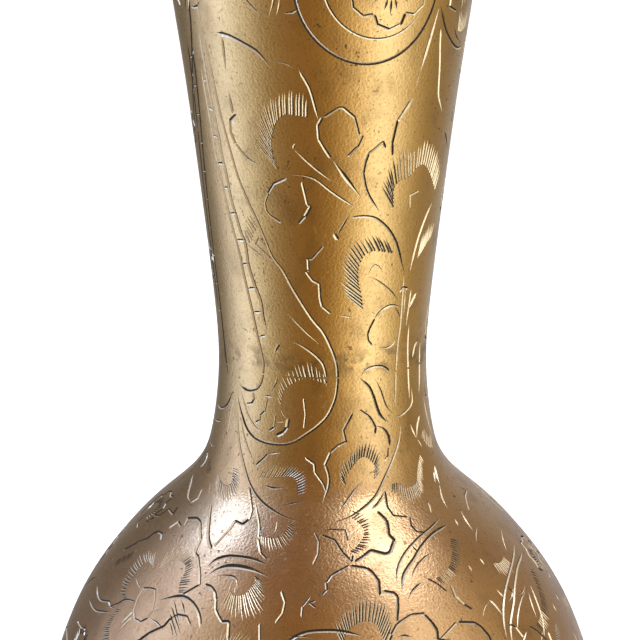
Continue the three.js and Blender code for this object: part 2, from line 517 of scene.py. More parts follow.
def join_seam(flat, triangles):
    """Make the triangles at the back seam's right side use the points of its left side."""
    left = np.flatnonzero(np.abs(flat[:, 0] + math.pi) < SAME_PLACE)
    for index in np.flatnonzero(np.abs(flat[:, 0] - math.pi) < SAME_PLACE):
        twin = left[np.argmin(np.abs(flat[left, 1] - flat[index, 1]))]
        triangles[triangles == index] = twin


def middles(flat, triangles):
    """The middle of each triangle on the developed surface, also of those that cross the back seam."""
    corners = flat[triangles]
    crossing = np.ptp(corners[:, :, 0], axis=1) > math.pi
    angles = corners[crossing, :, 0]
    corners[crossing, :, 0] = np.where(angles < 0, angles + 2 * math.pi, angles)
    middle = corners.mean(axis=1)
    middle[middle[:, 0] > math.pi, 0] -= 2 * math.pi
    return middle


def cuts_between(low, high):
    """The strokes that reach the stretch between two distances from the waist, with copies across the back
    seam."""
    bottom, top = outside.flat([(0, low), (0, high)])[:, 1]
    found = []
    for line, half, steep, side in strokes:
        if line[:, 1].max() < bottom - STRETCH_MARGIN or line[:, 1].min() > top + STRETCH_MARGIN:
            continue
        for shift in (0, -2 * math.pi, 2 * math.pi):
            moved = line + (shift, 0)
            if moved[:, 0].max() > -math.pi - SEAM_MARGIN and moved[:, 0].min() < math.pi + SEAM_MARGIN:
                found.append((moved, half, steep, side))
    return found


def engraved_sheet(low, high):
    """Points and triangles of the developed surface, with every stroke's sides and middle among the edges."""
    bottom, top = outside.flat([(0, low), (0, high)])[:, 1]
    cuts = cuts_between(low, high)
    columns = int(round(2 * math.pi / SHEET_STEP))
    rows = max(2, int(round((top - bottom) / (SHEET_STEP * 0.87))))
    grid = [((i + 0.5 * (j % 2)) * 2 * math.pi / columns - math.pi, bottom + (top - bottom) * j / rows)
            for j in range(1, rows) for i in range(columns) if i + j % 2 > 0]
    grid = np.array(grid)
    grid = grid[~near_a_stroke(grid, cuts, CLEARANCE)]
    points = [Vector(p) for p in grid]
    edges = []

    def chain(places):
        start = len(points)
        points.extend(Vector(p) for p in places)
        edges.extend((start + k, start + k + 1) for k in range(len(places) - 1))

    across = np.linspace(-math.pi, math.pi, columns + 1)
    up = np.linspace(bottom, top, rows // 2 + 1)
    for level in (bottom, top):
        chain([(x, level) for x in across])
    for side in (-math.pi, math.pi):
        chain([(side, y) for y in up])
    for line, half, _, side in cuts:
        for places in groove_lines(line, half, side):
            chain(places)
    result = delaunay_2d_cdt(points, edges, [], 0, 1e-6)
    flat = np.array([tuple(p) for p in result[0]])
    triangles = np.array(result[2])
    a, b, c = (flat[triangles[:, k]] for k in range(3))
    middle = (a + b + c) / 3
    area = (b[:, 0] - a[:, 0]) * (c[:, 1] - a[:, 1]) - (b[:, 1] - a[:, 1]) * (c[:, 0] - a[:, 0])
    inside = (np.abs(middle[:, 0]) < math.pi) & (middle[:, 1] > bottom) & (middle[:, 1] < top)
    kept = inside & (np.abs(area) > 1e-12)
    triangles = triangles[kept]
    flipped = area[kept] < 0
    triangles[flipped] = triangles[flipped][:, ::-1]
    return flat, triangles


# ------------------------------------------------------------------ the engraved pattern
def round_places(middle, radius, turns):
    """Places on a circle of radius mm round a middle, at angles given in degrees."""
    angle, along = middle
    flat_radius = float(outside.radius_at(along))
    return [(angle + math.degrees(radius * math.cos(math.radians(t)) / flat_radius),
             along + radius * math.sin(math.radians(t))) for t in turns]


def neck_medallion():
    """A round frame near the mouth, with a crescent on its left and a scalloped flower in it."""
    cut(*round_places((18, 67.3), 13.0, range(8, 370, 15)), width=0.56, head=6, tail=6)
    cut(*round_places((21.5, 68.4), 10.0, range(60, 331, 15)), width=0.5, head=3, tail=5)
    middle = (25.5, 67.6)
    for k in range(6):
        turn = 60 * k + 30
        outline = [(6.0, -28), (7.2, -18), (7.7, 0), (7.2, 18), (6.0, 28)]
        bars(*(round_places(middle, radius, [turn + t])[0] for radius, t in outline), width=0.54)
        for spread, reach in ((-15, 4.6), (0, 5.4), (15, 4.6)):
            cut(*(round_places(middle, radius, [turn + spread])[0] for radius in (2.4, reach)),
                width=0.5, head=1.0, tail=1.6)
    cut(*round_places(middle, 1.5, range(0, 361, 40)), width=0.4, head=0.6, tail=0.6)


def neck_big_leaf():
    cut((-44.5, 58.9), (-38, 58.5), (-30, 57.1), (-25, 55.8), (-19.7, 53.2), width=0.8, head=1.2, tail=4)
    cut((-19, 54.6), (-14.5, 54.4), (-10.5, 53.4), width=0.3)
    cut((-41.5, 58.4), (-41.5, 52.3), width=0.6, head=0.8, tail=4)
    cut((-41.4, 49.4), (-40.1, 45.4), width=0.6, head=2.5, tail=0.4)
    bars((-38.8, 45.1), (-42.1, 44.1), (-42.6, 42.2), (-40.4, 40.2), width=0.62)
    cut((-40.4, 40.3), (-35, 38.0), (-30, 37.1), (-25.4, 36.5), width=0.56, head=0.4, tail=4)
    cut((-9.2, 53.3), (-6.8, 51.6), (-5, 50.1), (-3.3, 47.6), (-1.7, 44.9), width=0.5, head=1, tail=2)
    bars((-0.2, 45.3), (-2, 44.0), (-1.6, 41.7), (0.4, 40.3), (3.2, 38.6), width=0.5)
    hatch([(-20, 36.5), (-21.7, 38.7), (-21.8, 41.5), (-19.5, 44.2), (-15.5, 45.7), (-10.5, 45.6),
           (-6.4, 45.4)], [(-30.2, 41.2), (-28.8, 44), (-26, 46.9), (-21, 48.4), (-15, 49.9), (-10, 49.5),
                           (-6.2, 48.9)], 25, width=0.4)


def neck_vine():
    """The long stem down the left of the front, closing in a loop round a leaf across the waist."""
    cut((-55, 72), (-53.6, 62), (-50.7, 54), (-49.4, 49.5), (-47.6, 45), (-45.2, 41), (-42.2, 36.5),
        (-40, 33.8), (-35.3, 29.8), (-32, 27.3), (-28.2, 24), (-24.8, 21), (-19.8, 18.8), (-15.6, 16),
        (-10, 12.8), (-5, 10.2), (0, 8.2), (3, 6.3), (6, 4), (7.6, 2), (8, 0), (7.6, -2), (6.3, -4),
        (2.4, -6.6), (-3, -8.4), (-8, -9.6), (-14, -11), (-20, -11.7), (-28, -11.8), (-33, -11.6),
        (-38, -11.1), (-43, -9.9), (-47, -8), (-50.5, -6), (-53, -4), width=0.56, head=5, tail=5)
    cut((-31, -10.2), (-37, -9.5), (-42, -8), (-46, -6), (-49.6, -3.6), width=0.38)
    cut((-75, 41), (-71, 46.5), (-66, 52), (-62, 57.5), (-59.8, 62.5), (-58.5, 70), width=0.5)


def neck_ladder():
    """A banded stem: two long lines with rungs, ending in a hook."""
    cut((-55.6, 58.5), (-54.5, 52), (-53.6, 48.2), (-52.3, 45), (-50.6, 41), (-49.9, 38), (-48.4, 35.4),
        (-47.5, 33), (-46.3, 30), (-44.3, 27.6), (-42, 24.6), (-40, 23.1), (-39.4, 21), (-38.9, 18.9),
        (-36, 15.6), (-33, 12.9), (-32.2, 10), (-30.3, 7.9), width=0.66, tail=1.5)
    cut((-57.8, 52.5), (-56.6, 46.5), (-55.5, 42), (-54.8, 38), (-52.4, 34), (-50.2, 29.5), (-48, 25.8),
        (-45, 21.8), (-43.5, 18.9), (-41.3, 14.8), (-39.3, 11.6), (-37.9, 9), (-36, 5.8), (-34.1, 3.2),
        (-33.4, 1.6), (-34.4, -0.9), (-37, -2.5), (-42, -3.2), (-46.5, -3.2), (-50.8, -2.7), width=0.6,
        tail=1.5)
    rungs = (((-57.6, 50.6), (-54.2, 50.2)), ((-56.4, 45.8), (-51.9, 45.3)), ((-55.4, 41), (-50.4, 40.8)),
             ((-54.6, 36.2), (-48.4, 36.4)), ((-51.4, 32.1), (-46.9, 32.3)), ((-49, 27.7), (-43, 28)),
             ((-45.8, 23.2), (-39.2, 23.4)), ((-44, 18.9), (-38.6, 19.4)), ((-41.2, 14.8), (-35, 15.2)),
             ((-39, 10.7), (-32.4, 11)), ((-35.8, 6.5), (-30, 7)))
    for left, right in rungs:
        cut(left, right, width=0.5, head=0.8, tail=0.8)


def neck_ladder_at_side():
    cut((-62.6, 58), (-63.4, 50), (-65.5, 42), (-67.6, 35), (-68.8, 30), (-70, 20), (-69, 9), (-67, 2),
        (-63, -2), width=0.6)
    cut((-67, 57), (-68.2, 50), (-70, 42), (-72, 35), (-73.4, 30), (-74.6, 20), (-74, 9), width=0.6)
    for low in range(8, 56, 5):
        lean = -61.5 - 0.17 * (56 - low)
        cut((lean - 5.2, low + 1), (lean - 0.4, low + 1.3), width=0.4, head=0.8, tail=0.8)


def neck_small_leaves():
    """The loops, stalks and thick accents between the two big leaves."""
    bars((-16.4, 34.8), (-22, 33.8), (-25, 32.1), (-27, 30.3), (-26.6, 29), (-24.6, 28.2), (-20, 27.2),
         width=0.5)
    bars((-9, 34.2), (-6.8, 30.4), (-5.4, 30.1), (-8, 28.4), (-10.8, 27.2), width=0.5)
    cut((-11.6, 41), (-12.6, 39.9), width=0.4, head=0.6, tail=0.4)
    cut((-12.5, 40), (-5, 37.3), (0, 35.7), (4.2, 34.4), width=0.4)
    cut((-14.7, 35.5), (-8, 35.4), (-3, 34.8), (1, 33.6), (5, 32.4), (15.4, 29.7), width=0.42, head=4)
    cut((4.4, 38.1), (10, 35.1), (18, 31.3), width=0.78, head=3, tail=4)
    bars((1, 45.5), (6.5, 47), (8.3, 47), (13.3, 45.3), (15.4, 42.4), width=0.48)
    bars((17.1, 42.2), (15, 40.3), (11.2, 38.8), width=0.48)
    cut((48.5, 63), (46.2, 59), (42.2, 52.3), width=0.8, head=4, tail=3)
    cut((42, 52), (40.4, 49.6), width=0.3)
    cut((39.9, 48.1), (32.7, 44.1), width=0.75, head=1.2, tail=0.5)
    bars((32.7, 44.4), (31, 40.6), (31.5, 38.6), width=0.46)
    cut((51.4, 59.4), (52.2, 56.7), (54.1, 52.8), (55.9, 48), (58.2, 46.4), (61.3, 44.7), width=0.5, head=1)
    cut((49, 63.5), (54.6, 59.2), (62, 56.5), (69, 55.4), (78, 55.6), width=0.5)
    cut((60.8, 59.6), (65, 57.5), (70.5, 56.4), width=0.36)
    cut((64, 41), (67.5, 40.8), (71, 39.6), (74.5, 37.6), width=0.5)
    hatch([(66, 58.4), (70, 58.2), (74, 58.9)], [(64.5, 62), (69.5, 61.8), (75, 62.2)], 7)


def neck_right_leaf():
    bars((27.6, 40), (26.4, 40.9), (20, 39), (18.8, 37.6), (18, 35.6), width=0.5)
    cut((18, 35.8), (19.8, 33), (22.6, 31), (27.2, 28.8), width=0.42, head=0.4)
    hatch([(34.2, 29.4), (33.6, 32.6), (37, 33.9), (42, 34.4), (47, 35.9), (52, 35.9), (58, 33.8),
           (63.5, 31.2)], [(27.7, 33), (30.5, 37.2), (38, 39.4), (45, 39.5), (51, 40.1), (56.5, 39.6),
                           (62.5, 37.6), (67.4, 34.3)], 27, width=0.42)
    bars((44.4, 29), (43.6, 31.1), (49.2, 31.6), width=0.4)


def neck_middle_leaf():
    bars((5.4, 25.4), (7, 24.4), width=0.7)
    cut((6.8, 25.2), (12, 28.5), width=0.34, head=0.6, tail=1)
    cut((11.8, 28), (16, 28.2), (20, 28.2), (25, 27.8), (30, 26.5), (34, 25), (38, 22.9), (42, 19.6),
        (45, 17.3), width=0.52, head=1.5, tail=4)
    bars((0, 23.1), (-5, 21), (-7, 20.9), (-6.8, 19), (-8, 18.7), (-5, 17.2), (-1.6, 16.6), (-1.2, 14),
         (-0.2, 12.6), (4, 11.4), width=0.48)
    cut((8, 11), (17, 10.5), width=0.32)
    hatch([(20.8, 12), (19.6, 14.4), (18, 16.5), (17.5, 18.7), (19.3, 20.8), (22.5, 21.8), (27, 22),
           (35.6, 21.3)], [(11, 14.7), (9, 17.4), (9.6, 20), (11, 22.8), (15.5, 24), (20.5, 24.7),
                           (25.5, 24.6), (31.5, 24)], 23, width=0.48)
    cut((22.6, 17.8), (25, 19.4), (28, 19.4), (31.2, 18.1), width=0.3)
    cut((22.8, 17.6), (28, 16.8), (36, 14.8), (43, 12.4), width=0.28)
    bars((26.8, 5.4), (24.8, 6.2), (24.1, 7.3), (25, 8.3), (27.6, 9.9), width=0.42)
    cut((27.4, 9.8), (32, 11.4), (38, 12), (44.6, 11.4), width=0.5, head=1)
    cut((40, 11.7), (43, 10.4), (45.2, 9.2), width=0.34)
    cut((31, 4.9), (35, 4.5), (40, 4.8), (42.6, 5.8), width=0.42, tail=0.6)


def neck_spindle():
    """The tall narrow bud on the right, across the waist, and the marks beside it."""
    cut((62.8, 28.9), (59, 27.3), (55, 24.8), (52, 22), (50.2, 19.5), (49.1, 17.4), width=0.62, head=2)
    hatch([(54.5, 19.6), (58, 20.6), (62, 21.8), (66, 22.6)], [(56.5, 23.4), (60, 24.4), (64, 25),
                                                               (69.5, 25)], 13)
    cut((44.8, 17), (45.2, 8.5), (44.2, 5), (43.5, 1), (42.9, -3), (42.3, -6.4), width=0.46)
    cut((51.6, 14.2), (50.6, 10.6), (50, 7.6), width=0.44, head=1)
    cut((56.8, 13.3), (53.4, 12), (50.9, 10.7), width=0.66, head=0.8, tail=1)
    cut((52.5, 8), (52.6, 4), (53.6, 0), (54.3, -5.5), width=0.46)
    bars((43.2, 14.2), (44.8, 14.9), (48, 14.5), width=0.6)
    cut((46.8, 14.6), (47.3, 9.8), width=0.4)
    cut((58, 1.6), (59.4, 3.2), (62, 4.2), (66.5, 3.9), width=0.5, head=0.6)
    cut((66.8, 4), (66.8, -2), (64.8, -5.3), width=0.5)
    cut((20.4, -0.2), (22, 0.6), (24.5, 1.2), (28.5, 1.5), (33, 1.4), (36, 1), (38.7, 0.2), width=0.52,
        tail=0.5)
    cut((20.2, -0.2), (22.6, -1), (26, -2.1), (28.2, -3.8), (29.8, -5.6), (31.4, -7), (34, -8), (37.2, -8.6),
        width=0.6, head=1.5)
    cut((29.3, -0.6), (33, -3), (36, -5.7), (40.5, -7.4), width=0.32)
    cut((56.6, -3.6), (56.4, -6.2), (51, -7.3), (45, -7.9), (40, -7.7), width=0.44)


def waist_leaf():
    """The leaf inside the vine's loop."""
    cut((-22.4, 5.9), (-25, 5), (-26.6, 3.7), width=0.66, head=0.6, tail=1)
    cut((-25, 1.1), (-25.4, -1), (-28, -2.4), (-28.6, -3.4), width=0.46)
    cut((-33.6, -3.9), (-30, -3.7), (-26.6, -3.9), width=0.4)
    cut((-16.6, 6.1), (-13, 5.9), (-8, 5), (-4, 4), (-1, 3), (0.7, 2.1), (1.9, 0.4), (2.2, -1.6), width=0.46)
    hatch([(-22.5, -4.9), (-21.4, -3), (-18.4, -1.7), (-14, -0.8), (-9.5, -0.2), (-4.5, -0.3), (1.8, -1)],
          [(-25, -3.6), (-23.2, -0.4), (-19.5, 0.7), (-14.5, 2), (-9, 2.5), (-4.6, 2.3), (0, 1.2)], 17)
    cut((-18.7, 11.4), (-10, 8.5), (-1.6, 5.9), width=0.34)
    bars((-9.9, -3.8), (-8.9, -6.4), (-9.6, -8.6), width=0.34)
    bars((-30.9, -4.3), (-32, -6.4), (-34.6, -7.3), (-35, -8.1), (-37.2, -8.6), width=0.44)
    bars((-40.2, -3.6), (-39.5, -4.8), (-41, -5.5), (-44, -5.7), width=0.44)
    bars((-25.7, -6.9), (-26, -9), (-28.2, -9.6), width=0.42)
    cut((-25, -8.1), (-21.5, -7.8), (-18.8, -7.9), width=0.28)
    cut((-23, -5.6), (-20.6, -6.8), (-18.4, -7.4), width=0.3)
    bars((-18.2, -7.3), (-18.8, -8.8), (-20.6, -9.7), (-24, -10.3), width=0.66)
    hatch([(-37.2, 23.1), (-35.6, 23.5), (-34.4, 24.6), (-32, 25.9)], [(-40, 25.2), (-39, 26.6),
                                                                       (-38, 27.9), (-36, 28)], 6)
    bars((-31.8, 24.2), (-33.7, 23.1), (-25, 20.4), width=0.36)
    cut((-40.2, 23.3), (-35, 21.9), (-27.6, 20.3), width=0.4)


def shoulder_stems():
    """Stems that fan out from the foot of the banded stem and meet low on the shoulder."""
    cut((-57, -4), (-61, -6.5), (-66, -7.8), (-72, -8.3), (-80, -8.2), width=0.46)
    cut((-56, -5), (-57.6, -9), (-58.6, -12.5), width=0.32)
    cut((-51.8, -6.8), (-50, -10), (-47, -13), (-43, -15.5), (-38, -18), (-33, -20), (-27, -21.9),
        (-20, -23.5), (-13, -24.8), (-6, -25.4), width=0.56, head=3, tail=8)
    cut((-48.2, -8.2), (-45, -11), (-41, -13.2), (-37, -14.9), (-34, -15.8), width=0.44)
    cut((-56.6, -3.2), (-54.4, -5.4), (-53, -8), (-51.6, -11), width=0.34)
    bars((-34, -15.8), (-30, -14.4), (-28.6, -13.8), width=0.44)
    cut((-28.8, -13.8), (-25, -13.4), (-21, -13.2), width=0.3)
    cut((45.6, -9.4), (42, -12.5), (36, -15.5), (30, -18), (23, -21), (15, -23.3), (10, -24.5), (2, -25.8),
        width=0.56, head=3, tail=7)
    cut((29.2, -19.9), (24, -22.1), (19.8, -23.3), width=0.5, head=3, tail=1)
    cut((28.8, -3.2), (30.5, -6), (33, -7.5), (37, -8.6), width=0.5)
    cut((41, -3.6), (41.6, -5), (42.8, -6.4), width=0.3)
    cut((52.8, -9.8), (54.6, -11.4), (56.8, -12.6), width=0.46)
    cut((63.2, -9), (59.4, -10.4), (57, -12.5), width=0.56, head=0.8)
    cut((57.4, -12.8), (60.4, -14.4), width=0.3)
    cut((71, -6), (73, -9), (76, -12), (81, -14.5), width=0.42)
    cut((-80, -11), (-74, -10.8), (-66, -10.2), width=0.5)
    cut((-80, -15.2), (-75, -15.4), (-70, -15), width=0.4)


def shoulder_left_leaves():
    hatch([(-31, -17.7), (-26, -17.7), (-20, -17.3), (-15, -17), (-12, -18.1), (-10.8, -20)], [(-29, -15.6),
                                                                                               (-24.5, -15.2),
                                                                                               (-19, -15),
                                                                                               (-13.6, -15.3),
                                                                                               (-8.2, -16.6),
                                                                                               (-6.4, -19.4)],
          23, width=0.3)
    cut((-28.4, -19), (-23, -19.4), (-17.6, -19.2), width=0.5)
    cut((-17.4, -22.6), (-12, -21.8), (-7.6, -21.4), width=0.3)
    bars((-8.2, -13.8), (-4, -14.8), (-3.6, -16.2), (0.4, -18.2), (1.4, -19.3), width=0.46)
    bars((-34.6, -20), (-31.5, -22), (-29, -23.8), (-28.2, -25.8), (-30, -27), (-33.5, -26.6), (-34, -28.6),
         (-36.2, -32.2), width=0.62)
    cut((-50.8, -23.4), (-48, -25.3), (-44, -28), (-40, -31), (-36.4, -32.9), width=0.66, head=3, tail=0.5)
    cut((-29.7, -21.9), (-26, -24.4), (-23.2, -26.9), (-21.6, -29.8), width=0.46, tail=1)
    bars((-21.9, -29.4), (-19.6, -32), (-17.4, -33), width=0.5)
    cut((-24.4, -25.5), (-21.9, -28), (-21, -30.2), width=0.3)
    hatch([(-56.2, -19.2), (-53, -20), (-50, -20.4), (-47, -20.4), (-45, -19.7), (-46.6, -18.5),
           (-47.6, -17.4)], [(-54, -21.4), (-51.4, -22.6), (-48.3, -23.4), (-45, -23.9), (-41.4, -23.4),
                             (-39, -21.2), (-42.6, -17.4)], 23, width=0.4)
    hatch([(-72, -17.5), (-69, -18.8), (-66, -20)], [(-68.5, -17), (-66, -18), (-63.4, -18.8)], 9)
    cut((-79, -21.7), (-73, -23), (-66, -25), (-60.3, -25.8), width=0.56)
    bars((-60.2, -25.8), (-58.6, -24.6), (-60.6, -22.9), width=0.42)
    cut((-58.6, -21), (-55.6, -22.4), (-53, -23.6), width=0.3)
    bars((-53.8, -30), (-54.8, -28.6), (-51, -28), (-48, -28.4), (-45, -30), (-42.6, -31.6), (-41.8, -34.2),
         (-40, -34.7), (-38, -36.2), (-36.4, -37.6), (-35, -39.5), (-38.6, -41.7), width=0.56)
    bars((-55, -30.5), (-58, -30), (-59.6, -31.6), width=0.5)
    bars((-65.4, -27.8), (-64.3, -29.3), (-70, -29), (-71.5, -31), (-75, -31.6), width=0.44)
    hatch([(-21.8, -28.6), (-19.4, -28.9), (-16.4, -28.8), (-14, -28.2), (-12.6, -26.8), (-12.4, -25.8)],
          [(-20.4, -30.3), (-18, -31.5), (-15, -31.6), (-12, -30.8), (-9.6, -28.8), (-9.4, -26.6)], 17)
    cut((-17.4, -25.4), (-16.6, -26.6), (-17.2, -28), width=0.3)
    bars((-2.6, -27.6), (-1.2, -29.2), (-1.4, -31.6), (-2.8, -33.6), width=0.4)


def shoulder_middle_leaves():
    bars((15.6, -6.4), (13, -7.8), (10.7, -9.1), (12, -11.1), (7.8, -11.7), (4, -12.8), (1.1, -15),
         width=0.48)
    cut((1.2, -14.8), (2.8, -16.6), (2.9, -18.2), (1.6, -19.8), (-0.2, -21.8), width=0.56, head=0.5)
    bars((20.4, -5.9), (25, -7), (27, -8), (28.6, -9.1), (28, -10), width=0.5)
    cut((28.4, -8.9), (32, -9.2), (34.6, -10), (36.2, -11.2), (36, -12.7), width=0.56, tail=0.6)
    bars((35, -13), (34.2, -14.3), (32.4, -14.9), width=0.38)
    hatch([(10.6, -18.4), (10, -17.2), (12.6, -16.3), (15, -15.2), (18, -14.2), (21, -13.9), (24, -14.6),
           (26.2, -15.8), (24.8, -17.8)],
          [(7.6, -17), (8.6, -14.8), (12, -13.6), (15, -12.8), (18.4, -11.8), (21.6, -11.4), (25.4, -11.6),
           (29.6, -13.6), (28.6, -16.6)], 24, width=0.4)
    cut((18.6, -18), (14.4, -19.4), (9, -22), (6.4, -23.4), width=0.34)
    hatch([(33.6, -19.2), (36.6, -19.2), (40, -20.2), (44, -20.2), (47.2, -19.7), (50, -18.4), (53, -17),
           (56.6, -15.7)],
          [(32, -20.6), (35.4, -22.4), (38.4, -23.5), (42.6, -23.2), (47, -22.3), (51, -20.4), (54.6, -18.4),
           (58, -17)], 27, width=0.38)
    bars((28.4, -20.4), (27, -23.2), (28, -25), (30, -25.3), (33.2, -25.7), width=0.46)
    cut((47, -23.9), (45.8, -25), (44.8, -26.2), width=0.56, head=0.6)
    cut((66.8, -18.4), (63.5, -20), (61.4, -21.6), width=0.66, head=1)
    cut((63.2, -19.2), (61, -20.1), (58.8, -21.2), width=0.5)
    cut((61, -21.7), (58.4, -22.8), (55.8, -24.2), (54.4, -26.3), width=0.46)
    cut((60.2, -27.6), (58.2, -29.4), (57.4, -31.8), width=0.5)
    cut((53.4, -28.6), (52.4, -30.1), width=0.56)
    bars((65, -28.2), (68, -27), (72, -25.9), (77, -25.6), width=0.46)
    hatch([(62, -12.8), (67, -14.8), (72, -15.6)], [(66, -11.4), (71, -12.8), (76, -13)], 9, width=0.2)
    bars((8.4, -29), (8, -27), (2, -26.8), width=0.34)
    bars((0, -28), (4, -28.9), (6.4, -31.5), (8.7, -33.1), (9.2, -32.1), width=0.52)
    bars((22.2, -23.9), (24.4, -25.6), (24, -27), (23.2, -28.6), (24.4, -29.9), (21.6, -32), (20, -32.3),
         (15.5, -31.3), (13, -32.2), (10, -33.2), width=0.72)
    hatch([(11.4, -24.8), (13.8, -26), (14.8, -27.4), (13.4, -29), (11, -30.4), (8.8, -31.2)],
          [(15.4, -23.7), (18, -25.2), (17.2, -27.3), (16.2, -29.4), (14.2, -31), (11.4, -31.8)], 17,
          width=0.5)
    cut((11.4, -23.2), (13.6, -23.8), (15.4, -24), width=0.36)
    bars((34.4, -25.9), (33, -27.5), (34, -28.9), (36.2, -29.3), width=0.44)


def body_arches():
    """Stems in double curved lines that part the leaves of the body."""
    cut((-35.2, -36.2), (-33.5, -34.6), (-31, -33.7), (-28, -33.3), (-22, -33.3), (-16, -34.2), width=0.62)
    cut((-33.6, -37.7), (-32, -36.4), (-29, -35.4), (-25, -35.1), (-20, -35.4), (-14.6, -36.5), width=0.9,
        head=4, tail=5)
    cut((-31.2, -37.4), (-28.5, -37), (-25.5, -37), (-24, -37.8), (-23.6, -39.2), width=0.4)
    cut((20.7, -38), (21.8, -35.8), (24, -33.8), (28, -31.8), (34, -30), (40, -28.8), (47.6, -27.4),
        width=0.5)
    cut((21.6, -39.4), (23, -37), (25, -35.5), (29, -33.6), (33, -31.8), (40, -29.9), (49, -29), width=0.6)
    cut((25, -37.6), (28, -35.5), (32, -34), (36.4, -33.2), width=0.4)
    cut((22.4, -41.1), (24.5, -39.6), (28.2, -38.2), width=0.5, tail=1)
    cut((29.6, -31.2), (30.8, -33), width=0.4)


def body_left_flower():
    """An open flower: an oval centre, and petals edged with hatching."""
    bars((-53, -43), (-50.8, -42.6), (-48.6, -42.5), (-47, -44), (-46, -46), (-46.6, -47.6), (-48.2, -48.5),
         (-50.6, -48.4), (-52.4, -47), (-53.2, -45), (-53, -43), width=0.44)
    hatch([(-51.4, -38.8), (-49.4, -37.4), (-47, -36.5), (-44, -36.5), (-42, -37.4), (-41.5, -38.8),
           (-41.4, -40.4), (-40.4, -41.7)], [(-52.6, -35.2), (-49.6, -34.3), (-46.4, -33.9), (-43.4, -34),
                                             (-40.6, -35.4), (-39, -37.6), (-37.8, -39.4), (-38.2, -41.4)],
          27, width=0.26)
    hatch([(-54.8, -38.9), (-58, -38.5), (-59.6, -40), (-60, -42), (-60, -44), (-59, -45.4), (-56.8, -46)],
          [(-57.6, -36.4), (-62.4, -37.4), (-64.8, -39.4), (-65, -41.4), (-64.2, -43.6), (-61.8, -45.8),
           (-58.6, -46.7)], 22, width=0.32)
    bars((-62.4, -48.6), (-59.6, -47.4), (-58, -46.3), (-56, -45.9), (-54, -45.8), width=0.4)
    cut((-58.6, -42.1), (-56, -42.8), (-53.6, -43.5), width=0.36)
    cut((-48.8, -39.4), (-49.2, -40.8), (-49.6, -42.2), width=0.62, head=1, tail=0.6)
    cut((-45.6, -44), (-41, -42.6), (-38, -42.2), (-35, -42.8), (-32.5, -44), (-31, -45.4), (-30.3, -46.8),
        width=0.66, head=4, tail=1)
    veins = (((-41, -43.2), (-36, -47.2)), ((-41, -44.3), (-34.4, -48.9)), ((-40.4, -45.6), (-35, -49.6)),
             ((-39.4, -46.9), (-36.4, -49.6)), ((-38.6, -42.9), (-35.6, -45.2)))
    for start, end in veins:
        cut(start, end, width=0.62, head=1, tail=3)
    cut((-46, -47.3), (-43, -47.7), (-39.6, -48.7), width=0.56)
    cut((-52, -47.2), (-53.4, -48.8), (-54.7, -50.2), width=0.74, head=1, tail=1)
    cut((-51.6, -48.2), (-54.2, -51.2), width=0.56, head=1, tail=1)
    cut((-48, -48.5), (-47.8, -50), (-47.3, -51.6), width=0.44)
    hatch([(-57.6, -48.2), (-58.4, -50), (-58, -52), (-56, -53.8)], [(-59.4, -48.6), (-60.4, -50.6),
                                                                     (-60.6, -53), (-59, -55)], 17)
    cut((-76, -47.7), (-71, -48.7), (-67.6, -48.7), (-64, -48), (-62.4, -48.5), (-59.4, -48.4), width=0.46)
    cut((-76, -50.5), (-69, -50.8), (-64, -50), (-60.4, -49.2), width=0.46)
    bars((-76, -55), (-72, -55), (-69.5, -54.6), (-68, -55.6), width=0.44)
    bars((-75, -39.6), (-72, -38.1), (-70, -36.8), (-66.4, -35.3), (-65.4, -34), (-64, -33.3), (-61, -33.2),
         (-59.4, -34.1), width=0.6)
    hatch([(-74, -41.6), (-71, -40), (-68.4, -38.6)], [(-72.6, -43.2), (-69.6, -41.6), (-67.2, -40)], 8)


def body_left_leaf():
    bars((-33.2, -39.3), (-31.4, -39.4), (-29.6, -40.2), (-28.5, -41.5), (-27.7, -43.2), (-26.4, -44.2),
         (-25, -45.1), (-23.2, -44.9), (-22.4, -47.8), (-21, -50.6), width=0.6)
    hatch([(-25.4, -39.6), (-23.4, -40.2), (-21, -39.8), (-19.7, -38.6), (-19, -37.2), (-19.4, -36.4)],
          [(-26.6, -43.2), (-23.4, -43.9), (-19.6, -44.1), (-16.6, -43.4), (-15, -40.6), (-16.4, -37.6)],
          21, width=0.42)
    cut((-25.6, -37.8), (-25.6, -39.8), width=0.3)
    cut((-24, -38.2), (-24, -40), width=0.3)
    bars((-11, -38.8), (-9.7, -40.6), (-10, -42.6), (-11.4, -44.2), width=0.46)
    bars((-15.3, -44.8), (-14.7, -47.3), (-15.6, -49.6), width=0.42)
    bars((-3.4, -39.6), (-5.1, -41.2), (-5.2, -43), width=0.36)
    bars((-2, -40.2), (-3.4, -40.6), (-1.8, -41.4), width=0.4)
    cut((-8.6, -46.6), (-5, -46.4), (-2, -46.8), width=0.34)


